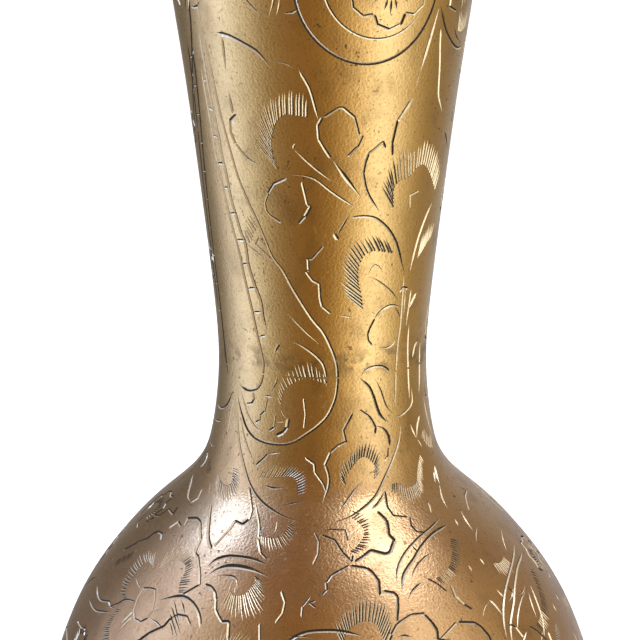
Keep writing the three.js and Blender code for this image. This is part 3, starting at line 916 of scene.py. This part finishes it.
def body_middle_leaf():
    bars((0, -39.1), (1.1, -38.3), (1, -37), (2.6, -35.6), (5, -34.8), (7.6, -34), width=0.46)
    bars((8.6, -34), (13, -34.6), (14.4, -35.4), (15.7, -37), (15.2, -39.4), width=0.62)
    hatch([(4.6, -47.4), (6, -45.7), (8, -44.4), (10.4, -44), (13, -44.6), (13.6, -46), (14.4, -47.6)],
          [(2.8, -44.4), (4.6, -42.2), (7.4, -40.8), (10.6, -39.9), (14.2, -39.8), (16.6, -41.2),
           (17.4, -44.4)], 22, width=0.44)
    bars((16.8, -39), (19.4, -39.5), (20, -40.2), (19.4, -42), (18.4, -44.2), width=0.62)
    bars((14.6, -48.6), (16.4, -46.6), (18.2, -45), (20, -44.3), (22.5, -43.6), (26, -43.7), width=0.56)
    bars((26, -44), (27.3, -45.5), (28, -46.9), (27.5, -48.4), (30.4, -49.2), width=0.6)
    cut((17.6, -47.2), (19.4, -47), (21.4, -47.4), width=0.5)
    hatch([(33.2, -38), (36, -37.5), (40, -36), (43, -33.8), (45.2, -31.8)],
          [(34.4, -39.6), (37.6, -39.3), (41.6, -37.8), (45, -35.4), (48, -32.8)], 23, width=0.46)
    bars((30.4, -37.9), (32.5, -39), (34.4, -40.6), width=0.44)
    cut((32.2, -40.4), (34.2, -39.4), width=0.3)
    bars((36.6, -40.1), (36.5, -42), (38, -43.6), (39.7, -44.7), width=0.56)
    cut((46.6, -44.1), (47.8, -45.8), (48.6, -47.6), width=0.56, head=0.8)
    cut((46.8, -44.3), (44, -45), (42, -46.6), width=0.34)
    cut((51, -42.9), (51.6, -44), (52.2, -45.2), width=0.5)
    cut((52.8, -45.6), (55, -45.1), (57.2, -44), width=0.38)
    cut((57.4, -45), (60, -45.4), (63.4, -44.7), width=0.4)
    bars((49.4, -49), (51, -50.1), (52.2, -52.2), width=0.5)
    cut((45.8, -37.2), (46, -38.6), width=0.5)
    cut((51.7, -36.8), (52, -38.2), width=0.46)
    hatch([(56, -38.6), (59, -39), (62, -38.6)], [(56, -41), (60, -42), (64, -41)], 10, width=0.2)
    cut((63, -46), (61.4, -48), (60.6, -50.4), width=0.4)
    cut((66, -45), (64.4, -48), (62.8, -51), (60, -54), width=0.44)
    hatch([(65, -55.6), (66.8, -53.6)], [(68, -56), (69, -53.4)], 9)
    cut((55, -34), (58, -32.4), (61.4, -31.6), width=0.44)
    cut((66, -38), (69, -36), (73, -34.6), width=0.44)


# ------------------------------------------------------------------ the pattern where it repeats
def placed(middle, size, turn, places):
    """Places of a small drawing, in mm right and up of its middle, set on the vase at a size and a turn."""
    angle, along = middle
    radius = float(outside.radius_at(along))
    c, s = math.cos(math.radians(turn)) * size, math.sin(math.radians(turn)) * size
    return [(angle + math.degrees((x * c - y * s) / radius), along + x * s + y * c) for x, y in places]


def leaf(middle, size=1.0, turn=0.0, flip=1):
    """A scalloped leaf with a hatched arch and a vein; its tip points up."""
    def at(*places):
        return placed(middle, size, turn, [(flip * x, y) for x, y in places])

    bars(*at((-2.2, -6.8), (-4.8, -5.2), (-4.4, -3.4), (-6.6, -2.2), (-6.2, 0.2), (-4.6, 1.2), (-5.4, 3.4),
             (-3.4, 5.8), (-0.8, 6.4), (1.2, 8.2), (2.6, 6.0), (5, 5.4), (5.2, 3), (7, 1.4), (6.2, -1)),
         width=0.54)
    hatch(at((-1.6, -3.6), (-2.2, -0.6), (-1, 1.8), (1.4, 2.4), (3, 0.8), (3.2, -1.6)),
          at((-3.6, -3), (-4.2, 0.6), (-2, 4), (2, 4.8), (5, 2.4), (5.2, -1)), int(20 * size) + 4)
    cut(*at((0.4, -7.4), (0.9, -4), (0.6, -0.6)), width=0.42)
    cut(*at((1.9, -6.6), (2.2, -4.6), (1.9, -2.8)), width=0.5)
    cut(*at((3, -5.8), (5, -5.2), (6.4, -3.6)), width=0.56, head=1.5)


def flower(middle, size=1.0, turn=0.0):
    """An open flower of five hatched petals round an oval centre."""
    ring = [(2.3 * math.cos(t), 2.3 * math.sin(t)) for t in np.linspace(0, 2 * math.pi, 10)]
    bars(*placed(middle, size, turn, ring), width=0.44)
    for k in range(5):
        lean = 72 * k + turn
        hatch(placed(middle, size, lean, [(-2.3, 5), (-1.6, 6.6), (0, 7.2), (1.6, 6.6), (2.3, 5)]),
              placed(middle, size, lean, [(-3.8, 6), (-2.6, 8.4), (0, 9.4), (2.6, 8.4), (3.8, 6)]), 13)
        cut(*placed(middle, size, lean, [(-1.1, 2.8), (-2.6, 4.9)]), width=0.36)
        cut(*placed(middle, size, lean, [(0, 3), (0, 5.4)]), width=0.55, head=0.8)


def stem(middle, height, sway, width=0.46):
    """A stem that sways from side to side as it climbs, with a curl at each bend."""
    angle, along = middle
    radius = float(outside.radius_at(along))
    places = [(angle + math.degrees(sway * math.sin(t * 2 * math.pi) / radius), along + height * (t - 0.5))
              for t in np.linspace(0, 1, 13)]
    cut(*places, width=width, head=4, tail=4)
    for side, share in ((1, 0.25), (-1, 0.75)):
        base = (angle + math.degrees(side * sway / radius), along + height * (share - 0.5))
        cut(*placed(base, side, 0, [(0, 0), (1.8, 1.4), (3.4, 0.6), (3.2, -1.2), (1.8, -1.4)]), width=0.4)


def again(motif, turn, drop=0.0):
    """A motif once more, turned by some degrees and moved down the developed surface."""
    start = len(strokes)
    motif()
    for k in range(start, len(strokes)):
        line, half, steep, side = strokes[k]
        moved = line + (math.radians(turn), -drop)
        before, after = (np.interp(p[:, 1], outside.climb, outside.radius) for p in (line, moved))
        strokes[k] = moved, half * np.minimum(after / before, 1), steep, side


def drop_strokes(low, high, start):
    """Leave out the strokes drawn since start that reach out of the stretch between two distances from the
    waist."""
    bottom, top = outside.flat([(0, low), (0, high)])[:, 1]
    strokes[start:] = [s for s in strokes[start:] if s[0][:, 1].min() > bottom and s[0][:, 1].max() < top]


def neck_sides():
    """Stems and leaves between the front pattern and the back one."""
    for angle in (91, -89):
        stem((angle, 31), 50, 2.4)
        stem((angle, -12), 26, 1.6)
        for side, along in ((-1, 6), (1, 17), (-1, 29), (1, 41), (-1, 53)):
            leaf((angle + 4 * side, along), size=0.54, turn=-38 * side, flip=side)
        for side, along in ((1, -31), (-1, -43)):
            leaf((angle + 7 * side, along), size=0.62, turn=-30 * side, flip=side)


def neck_top():
    """Leaves between the medallions, and the turned lines under the lip."""
    for angle in (-62, -18, 62, 90):
        for back in (0, 180):
            leaf((angle + back, 68.2), size=0.86, turn=12 if angle > 0 else -12)
    ring_line(79.6, width=0.5)
    ring_line(81.2, width=0.4)


NECK_MOTIFS = (neck_medallion, neck_big_leaf, neck_vine, neck_ladder, neck_ladder_at_side, neck_small_leaves,
               neck_right_leaf, neck_middle_leaf, neck_spindle, waist_leaf)
SHOULDER_MOTIFS = (shoulder_stems, shoulder_left_leaves, shoulder_middle_leaves)
BODY_MOTIFS = (body_arches, body_left_flower, body_left_leaf, body_middle_leaf)
BELLY_BAND = 5.4  # plain band above and below the widest part, for the turned lines, in mm
FOOT_BAND = 6.4  # and above the foot


def body_low(belly):
    """The body's flowers and leaves once more, in two rows down to the widest part and two on the bowl."""
    start = len(strokes)
    for turn, drop in ((26, 0.34), (206, 0.34), (-58, 0.66), (122, 0.66)):
        for motif in BODY_MOTIFS:
            again(motif, turn, drop)
    for angle in (112, -68):
        flower((angle, -62), size=0.9, turn=12)
    for angle in (30, 210):
        leaf((angle, -72), size=0.95, turn=-20)
    drop_strokes(belly + BELLY_BAND, 0, start)
    start = len(strokes)
    for turn, drop in ((0, 1.03), (180, 1.03), (76, 1.36), (256, 1.36)):
        for motif in BODY_MOTIFS:
            again(motif, turn, drop)
    for angle in (90, -90):
        flower((angle, -93), size=0.9, turn=30)
    drop_strokes(float(outside.along[0]) + FOOT_BAND, belly - BELLY_BAND, start)


def draw_pattern():
    for motif in NECK_MOTIFS + SHOULDER_MOTIFS + BODY_MOTIFS:
        motif()
    strokes.extend([(line + (math.pi, 0), *rest) for line, *rest in strokes])
    neck_sides()
    neck_top()
    belly = outside.at_height(BELLY_HEIGHT)
    body_low(belly)
    for away in (-3.2, -4.8, 3.2, 4.8):
        ring_line(belly + away)
    foot = float(outside.along[0])
    ring_line(foot + 4.2)
    ring_line(foot + 5.6)


draw_pattern()


# ------------------------------------------------------------------ materials
class Nodes:
    """A node tree in the making. Each call adds nodes and gives the socket that holds their result."""

    def __init__(self, owner, coordinates):
        owner.use_nodes = True
        self.tree = owner.node_tree
        self.place = self.node("ShaderNodeTexCoord").outputs[coordinates]

    def node(self, kind, inputs=(), **settings):
        node = self.tree.nodes.new(kind)
        for key, value in settings.items():
            setattr(node, key, value)
        for key, value in dict(inputs).items():
            self.give(node.inputs[key], value)
        return node

    def give(self, socket, value):
        if isinstance(value, bpy.types.NodeSocket):
            self.tree.links.new(value, socket)
        else:
            socket.default_value = value

    def math(self, operation, a, b=0.0):
        return self.node("ShaderNodeMath", {0: a, 1: b}, operation=operation).outputs[0]

    def noise(self, scale, detail=3.0, stretch=(1, 1, 1), offset=(0, 0, 0)):
        """Noise between 0 and 1 whose features are about 1/scale metres across."""
        moved = self.node("ShaderNodeMapping", {"Vector": self.place, "Scale": stretch, "Location": offset})
        inputs = {"Vector": moved.outputs[0], "Scale": scale, "Detail": detail}
        return self.node("ShaderNodeTexNoise", inputs).outputs["Fac"]

    def between(self, value, low, high, start=0.0, end=1.0):
        """start below low, end above high, and a smooth change from one to the other."""
        inputs = {"Value": value, "From Min": low, "From Max": high, "To Min": start, "To Max": end}
        return self.node("ShaderNodeMapRange", inputs, interpolation_type="SMOOTHSTEP").outputs[0]

    def mix(self, share, a, b, blend="MIX"):
        inputs = {0: share, 6: a, 7: b}
        return self.node("ShaderNodeMix", inputs, data_type="RGBA", blend_type=blend).outputs[2]

    def attribute(self, name):
        return self.node("ShaderNodeAttribute", attribute_name=name).outputs["Fac"]

    def bump(self, height, distance, under=None):
        inputs = {"Height": height, "Distance": distance}
        if under is not None:
            inputs["Normal"] = under
        return self.node("ShaderNodeBump", inputs).outputs[0]


CUT_DULLNESS = 0.2  # polish residue makes the cut facets less like bare metal


def brass(name, upper, lower, waist_stain=0.0, rough=0.3, turning=0.01):
    """Old brass: two tones in soft clouds, brown freckles, pale facets where it is cut (newly cut metal,
    lightened further as a painted highlight), near-black in the steep sides and bottoms of the grooves
    (partly grime, partly painted shade), turning lines and fine grain. Its tones go over from upper to lower
    along the shoulder."""
    material = bpy.data.materials.new(name)
    n = Nodes(material, "Object")
    shader = n.tree.nodes["Principled BSDF"]
    times, plus = (lambda a, b: n.math("MULTIPLY", a, b)), (lambda a, b: n.math("ADD", a, b))

    height = n.node("ShaderNodeSeparateXYZ", {"Vector": n.place}).outputs["Z"]
    below = n.between(height, (WAIST_HEIGHT - 34) * MM, (WAIST_HEIGHT + 4) * MM, 1.0, 0.0)
    bright, dull = (n.mix(below, above + (1,), under + (1,)) for above, under in zip(upper, lower))
    colour = n.mix(n.between(n.noise(34, 5.0), 0.36, 0.66), bright, dull)
    mottle = n.noise(190, 4.0, stretch=(1, 1, 0.8))
    colour = n.mix(times(n.between(mottle, 0.5, 0.74), 0.4), colour, (0.26, 0.16, 0.07, 1))
    grain = n.noise(2300, 2.0)
    colour = n.mix(n.between(grain, 0.52, 0.75, 0.0, 0.35), colour, (0.22, 0.13, 0.055, 1))
    spots = n.between(n.noise(1150, 3.0), 0.64, 0.70)
    thick = n.between(n.noise(70, 3.0, offset=(3, 1, 2)), 0.42, 0.62)
    colour = n.mix(times(times(spots, thick), 0.75), colour, (0.08, 0.048, 0.022, 1))

    wobble = times(plus(n.noise(45, 4.0, offset=(1, 5, 2)), -0.5), 0.016)
    away = n.math("ABSOLUTE", plus(plus(height, wobble), -WAIST_HEIGHT * MM - 0.0005))
    stain = times(n.between(away, 0.0004, 0.0036, waist_stain, 0.0), n.between(n.noise(420, 6.0), 0.42, 0.60))
    colour = n.mix(stain, colour, (0.13, 0.08, 0.04, 1))

    # Pale cut facets: partly the colour of newly cut metal, partly a painted highlight that stands in for
    # their glint.
    fresh_and_highlight = n.between(n.attribute("groove"), 0.01, 0.12)
    colour = n.mix(times(fresh_and_highlight, 0.8), colour, (0.97, 0.87, 0.64, 1))
    # Near-black on the steep walls and in the bottoms of the grooves: partly grime, partly painted shade.
    dirt_and_shade = n.math("MAXIMUM", n.attribute("wall"), n.between(n.attribute("groove"), 0.6, 0.97))
    dirt_and_shade = times(dirt_and_shade, n.between(n.noise(300, 3.0, offset=(7, 0, 4)), 0.05, 0.4))
    colour = n.mix(times(dirt_and_shade, 0.96), colour, (0.03, 0.017, 0.008, 1))

    lines = n.noise(160, 3.0, stretch=(1, 1, 26))
    roughness = plus(times(mottle, 0.16), times(n.math("MAXIMUM", stain, spots), 0.2))
    roughness = plus(plus(roughness, times(lines, 0.08)), plus(times(dirt_and_shade, 0.25), times(fresh_and_highlight, 0.12)))
    roughness = plus(plus(roughness, times(grain, 0.12)), rough - 0.18)
    normal = n.bump(lines, turning * MM)
    normal = n.bump(grain, 0.05 * MM, normal)
    normal = n.bump(mottle, 0.016 * MM, normal)
    n.give(shader.inputs["Base Color"], colour)
    n.give(shader.inputs["Metallic"], n.math("SUBTRACT", 1.0, times(fresh_and_highlight, CUT_DULLNESS)))
    n.give(shader.inputs["Roughness"], roughness)
    n.give(shader.inputs["Normal"], normal)
    return material


YELLOW = (0.69, 0.47, 0.20), (0.60, 0.405, 0.17)  # bright and dull tone
BROWN = (0.655, 0.41, 0.205), (0.535, 0.326, 0.16)
DARK = (0.58, 0.38, 0.17), (0.42, 0.27, 0.12)
PALE = (0.60, 0.42, 0.18), (0.44, 0.30, 0.13)

NECK_METAL = brass("neck_brass", YELLOW, BROWN, waist_stain=0.5, turning=0.02)
BODY_METAL = brass("body_brass", YELLOW, BROWN, waist_stain=0.5)
FOOT_METAL = brass("foot_brass", DARK, DARK, rough=0.36)
WIRE_METAL = brass("wire_brass", PALE, PALE, rough=0.36)
BRAZE_METAL = brass("braze_metal", YELLOW, BROWN, waist_stain=0.5, rough=0.34)


# ------------------------------------------------------------------ the pieces
def arc(centre, radius, start, end, steps):
    return [(centre[0] + radius * math.cos(t), centre[1] + radius * math.sin(t))
            for t in np.linspace(start, end, steps + 1)]


def bowl_height(radius):
    return BELLY_HEIGHT - BOWL_DEPTH * math.sqrt(1 - (radius / BELLY_RADIUS) ** 2)


def joint(height, radius):
    """The ledge's and the skirt's heights, and the bore's and the collar's radii, of a lap joint."""
    bore = radius - LAP_WALL
    return height - BRAZE / 2, height + BRAZE / 2, bore, bore - BRAZE


def collar_points(radius, ledge):
    """The upstanding collar of a lap joint, from its outside to its inside."""
    outer = [(radius, ledge), (radius, ledge + COLLAR_HEIGHT)]
    return outer + [(radius - COLLAR_WALL, ledge + COLLAR_HEIGHT), (radius - COLLAR_WALL, ledge)]


def build_neck():
    _, skirt, bore, _ = joint(WAIST_HEIGHT, WAIST_RADIUS)
    skin = Skin()
    bottom, top = skin.engraved(BRAZE / 2, float(outside.along[-1]))
    rim = arc(LIP_CENTRE, LIP_ROLL_RADIUS, math.pi, -math.pi / 2, 20)
    rim += arc(LIP_CENTRE, LIP_ROLL_RADIUS + WALL, -math.pi / 2, math.pi, 30)
    inside = outside.inner_line(skirt + COLLAR_HEIGHT + 0.6, LIP_CENTRE[1] - 0.5, 1.5)
    skin.turned(rim + inside + [(bore, skirt + COLLAR_HEIGHT), (bore, skirt), (WAIST_RADIUS, skirt)],
                first=top, last=bottom)
    skin.piece("neck_sheet", "neck", NECK_METAL)


def build_upper_body():
    ledge, _, _, collar = joint(WAIST_HEIGHT, WAIST_RADIUS)
    _, skirt, bore, _ = joint(BELLY_HEIGHT, BELLY_RADIUS)
    skin = Skin()
    bottom, top = skin.engraved(outside.at_height(skirt), -BRAZE / 2)
    inside = outside.inner_line(skirt + COLLAR_HEIGHT + 0.6, ledge - 1.5, 1.5)
    rim = [(bore, skirt + COLLAR_HEIGHT), (bore, skirt), (BELLY_RADIUS, skirt)]
    skin.turned([(WAIST_RADIUS, ledge)] + collar_points(collar, ledge) + inside + rim, first=top, last=bottom)
    skin.piece("body_shoulder", "upper_body", BODY_METAL)


def build_lower_body():
    ledge, _, _, collar = joint(BELLY_HEIGHT, BELLY_RADIUS)
    skin = Skin()
    bottom, top = skin.engraved(float(outside.along[0]), outside.at_height(ledge))
    inside = outside.inner_line(bowl_height(SEAT_OUTER_RADIUS), ledge - 0.8, 1.5)
    floor = [(r, bowl_height(r)) for r in np.linspace(0, SEAT_OUTER_RADIUS, 14)]
    floor_inside = [(r, bowl_height(r) + WALL) for r in np.linspace(SEAT_OUTER_RADIUS - 1.6, 0, 9)]
    skin.turned([(BELLY_RADIUS, ledge)] + collar_points(collar, ledge) + inside + floor_inside, first=top)
    skin.turned(floor, last=bottom)
    skin.piece("body_bowl", "lower_body", BODY_METAL)


def build_foot():
    profile = [(FOOT_RADIUS + r, h) for r, h in FOOT_STATIONS]
    top = [(r, bowl_height(r)) for r in np.linspace(SEAT_OUTER_RADIUS, SEAT_INNER_RADIUS, 6)]
    under = [(r + BRAZE * r / BELLY_RADIUS, h - SEAT_DROP) for r, h in top]
    skin = Skin()
    skin.turned([(FOOT_RADIUS - FOOT_REST_WIDTH, 0), *profile, *under, FOOT_INSIDE])
    skin.piece("foot_casting", "foot_ring", FOOT_METAL)
    film = Skin()
    film.turned([*under[::-1], *top])
    film.piece("foot_seam", "foot_braze", BRAZE_METAL)


def build_lip_wire():
    skin = Skin()
    skin.turned(arc(LIP_CENTRE, LIP_WIRE_RADIUS, 0, 2 * math.pi, 20)[:-1])
    skin.piece("lip_wire_ring", "lip_wire", WIRE_METAL)


def build_seam(name, node, height, radius):
    ledge, skirt, bore, collar = joint(height, radius)
    skin = Skin()
    skin.turned([(collar, ledge), (radius, ledge), (radius, skirt), (bore, skirt),
                 (bore, skirt + COLLAR_HEIGHT), (collar, skirt + COLLAR_HEIGHT)])
    skin.piece(name, node, BRAZE_METAL)


build_neck()
build_upper_body()
build_lower_body()
build_foot()
build_lip_wire()
build_seam("waist_seam", "neck_braze", WAIST_HEIGHT, WAIST_RADIUS)
build_seam("belly_seam", "belly_braze", BELLY_HEIGHT, BELLY_RADIUS)


# ------------------------------------------------------------------ camera, floor and light
def add_camera():
    """A long lens a little above the waist, tilted down."""
    target = Vector((0, 0, WAIST_HEIGHT + 6.2)) * MM
    pitch = math.radians(12)
    distance = 0.44125
    data = bpy.data.cameras.new("camera")
    data.lens = 140.625
    data.shift_x = -0.0039
    data.clip_start = 0.01
    data.clip_end = 50
    camera = bpy.data.objects.new("camera", data)
    camera.location = target + distance * Vector((0, -math.cos(pitch), math.sin(pitch)))
    camera.rotation_euler = (math.pi / 2 - pitch, 0, 0)
    bpy.context.scene.collection.objects.link(camera)
    bpy.context.scene.camera = camera


def add_floor():
    mesh = bpy.data.meshes.new("floor")
    size = 12.0
    corners = [(-size, -size, 0), (size, -size, 0), (size, size, 0), (-size, size, 0)]
    mesh.from_pydata(corners, [], [(0, 1, 2, 3)])
    floor = bpy.data.objects.new("floor", mesh)
    bpy.context.scene.collection.objects.link(floor)
    material = bpy.data.materials.new("pale_floor")
    material.use_nodes = True
    shader = material.node_tree.nodes["Principled BSDF"]
    shader.inputs["Base Color"].default_value = (0.86, 0.86, 0.855, 1)
    shader.inputs["Roughness"].default_value = 0.8
    shader.inputs["Specular IOR Level"].default_value = 0.2
    mesh.materials.append(material)
    floor.visible_glossy = False


# Brightness of the room in reflections, by degrees round from the camera's side, positive to the right.
ROOM = [(-180, (0.52, 0.54, 0.55)), (-150, (0.2, 0.195, 0.18)), (-128, (0.24, 0.23, 0.24)),
        (-106, (0.96, 1.1, 1.62)), (-90, (1.5, 1.83, 2.9)), (-68, (0.88, 0.96, 1.12)),
        (-50, (0.42, 0.35, 0.24)), (-34, (0.32, 0.215, 0.11)), (-12, (0.28, 0.165, 0.062)),
        (6, (0.36, 0.23, 0.088)), (22, (0.70, 0.52, 0.25)), (38, (1.34, 1.2, 0.95)),
        (52, (2.15, 2.3, 2.45)), (66, (1.45, 1.42, 1.3)), (84, (0.75, 0.64, 0.42)),
        (104, (0.40, 0.31, 0.18)), (130, (0.40, 0.34, 0.28)), (156, (0.53, 0.56, 0.62))]
LAMP_DISTANCE = 1.3  # from the middle of the vase, in metres


def add_world():
    """A pale backdrop. In reflections it is a dim warm room with a tall window on each side."""
    world = bpy.data.worlds.new("studio")
    bpy.context.scene.world = world
    n = Nodes(world, "Generated")
    x, y, z = n.node("ShaderNodeSeparateXYZ", {"Vector": n.place}).outputs
    turn = n.math("DIVIDE", n.math("ARCTAN2", x, n.math("MULTIPLY", y, -1.0)), 2 * math.pi)
    ramp = n.node("ShaderNodeValToRGB", {"Fac": n.math("ADD", turn, 0.5)})
    ramp.color_ramp.interpolation = "EASE"
    elements = ramp.color_ramp.elements
    for _ in ROOM[2:]:
        elements.new(0.5)
    for element, (degrees, colour) in zip(elements, ROOM):
        element.position = degrees / 360 + 0.5
        element.color = (*colour, 1)
    level = n.between(z, -0.5, 0.0, 1.16, 0.98)
    grey = n.node("ShaderNodeCombineColor", {0: level, 1: level, 2: level}).outputs[0]
    room = n.mix(1.0, ramp.outputs[0], grey, blend="MULTIPLY")
    room = n.mix(n.between(z, 0.58, 0.95), room, (0.3, 0.18, 0.065, 1))
    in_view = n.node("ShaderNodeLightPath").outputs["Is Camera Ray"]
    n.give(n.tree.nodes["Background"].inputs["Color"], n.mix(in_view, room, (1, 1, 1, 1)))


def add_lamp(name, kind, azimuth, elevation, strength, **settings):
    """A soft lamp that faces the vase and is invisible in the picture."""
    data = bpy.data.lights.new(name, kind)
    data.energy = strength
    for key, value in settings.items():
        setattr(data, key, value)
    lamp = bpy.data.objects.new(name, data)
    a, e = math.radians(azimuth), math.radians(elevation)
    way = Vector((math.sin(a) * math.cos(e), -math.cos(a) * math.cos(e), math.sin(e)))
    lamp.location = way * LAMP_DISTANCE + Vector((0, 0, HEIGHT * MM / 2))
    lamp.rotation_euler = way.to_track_quat("Z", "Y").to_euler()
    lamp.visible_camera = False
    bpy.context.scene.collection.objects.link(lamp)
    return lamp


add_camera()
add_floor()
add_world()
add_lamp("left_lamp", "AREA", -112, 52, 2.3, shape="DISK", size=0.5, color=(0.76, 1.2, 2.45))
add_lamp("right_lamp", "AREA", 76, 64, 4.2, shape="DISK", size=0.6, color=(1.0, 1.13, 1.45))
sun = add_lamp("floor_lamp", "SUN", -20, 70, 2.9, angle=math.radians(70), color=(0.96, 1.0, 1.08))
sun.visible_glossy = False
bpy.context.scene.view_settings.view_transform = "Standard"
